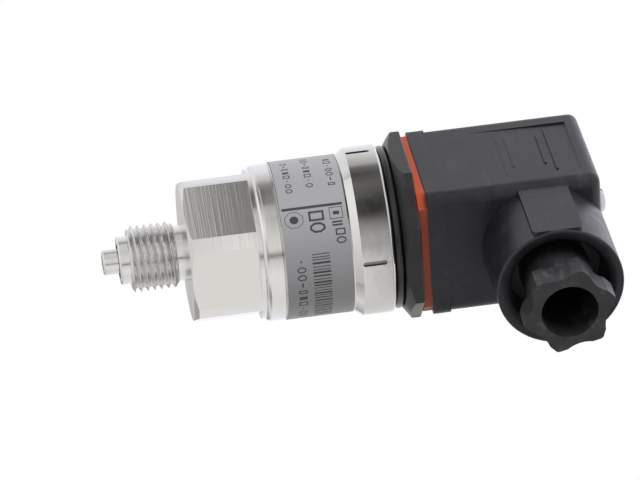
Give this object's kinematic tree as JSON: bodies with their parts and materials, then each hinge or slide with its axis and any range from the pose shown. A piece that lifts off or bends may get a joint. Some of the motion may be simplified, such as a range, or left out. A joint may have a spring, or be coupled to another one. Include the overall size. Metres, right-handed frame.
{
  "type": "pressure transmitter",
  "caption": "Screw-in pressure transmitter with hexagon port, round steel housing and a square angled cable plug with gland.",
  "frame": {"origin": "on the instrument's axis, at the inner end of the process thread, where the thread relief begins", "axes": "+Z along the instrument from the pressure port to the plug; -Y out of the cable gland; +X completes a right-handed frame"},
  "size_m": [0.0332, 0.0569, 0.0998],
  "materials": {
    "stainless_turned": "turned and milled stainless steel, bright, fine tool lines",
    "stainless_drawn": "drawn stainless tube, satin, polished flare",
    "stainless_sensor": "plain stainless steel",
    "label_foil": null,
    "sealing_glass": "fused sealing glass",
    "gilt_pins": "gold-plated pins",
    "carrier_plastic": "natural moulded plastic",
    "board_laminate": "green solder-masked laminate",
    "component_plastic": "moulded electronic components",
    "wire_insulation": "extruded insulation",
    "black_rubber": "black moulded rubber, slightly glossy",
    "red_silicone": "brick-red moulded silicone",
    "base_polyamide": "black glass-filled polyamide",
    "plug_polyamide": "black glass-filled polyamide, fine spark-eroded grain",
    "block_polyamide": "dark grey polyamide",
    "tinned_brass": "tin-plated brass strip",
    "brass_turned": "turned brass",
    "zinc_steel": "bright zinc-plated steel"
  },
  "bodies": {
    "transmitter": {"pressure_port": "stainless_turned", "sensing_diaphragm": "stainless_sensor", "sensor_header": "stainless_sensor", "glass_seals": "sealing_glass", "header_pins": "gilt_pins", "board_carrier": "carrier_plastic", "circuit_board": "board_laminate", "board_components": "component_plastic", "lead_wires": "wire_insulation", "housing_sleeve": "stainless_drawn", "type_label": "label_foil", "sleeve_o_ring": "black_rubber", "plug_base": "base_polyamide", "contact_blades": "tinned_brass", "earth_blade": "tinned_brass", "screw_insert": "brass_turned", "base_gasket": "red_silicone"},
    "plug": {"plug_housing": "plug_polyamide", "contact_block": "block_polyamide", "contact_clips": "tinned_brass", "earth_clip": "tinned_brass", "terminal_screws": "zinc_steel", "gland_grommet": "black_rubber"},
    "screw_seal": {"screw_seal": "black_rubber"},
    "fixing_screw": {"fixing_screw": "zinc_steel"},
    "gland_ring": {"gland_ring": "plug_polyamide"},
    "gland_nut": {"gland_nut": "plug_polyamide"}
  },
  "joints": [
    {"name": "plug_pull", "type": "slide", "parent": "transmitter", "child": "plug", "axis": [0, 0, 1], "range_m": [0, 0.016]},
    {"name": "screw_lift", "type": "slide", "parent": "plug", "child": "screw_seal", "axis": [0, 0, 1], "range_m": [0, 0.006]},
    {"name": "screw_turn", "type": "hinge", "parent": "screw_seal", "child": "fixing_screw", "pos_m": [0, 0, 0.0838], "axis": [0, 0, 1], "range_deg": [0, 4320]},
    {"name": "gland_travel", "type": "slide", "parent": "plug", "child": "gland_ring", "axis": [0, -1, 0], "range_m": [0, 0.00564]},
    {"name": "gland_turn", "type": "hinge", "parent": "gland_ring", "child": "gland_nut", "pos_m": [0, -0.0304, 0.0717], "axis": [0, -1, 0], "range_deg": [0, 1440]}
  ],
  "couplings": [
    {"joint": "screw_turn", "follows": "screw_lift", "rad_per_m": 12566},
    {"joint": "gland_turn", "follows": "gland_travel", "rad_per_m": 4453}
  ]
}
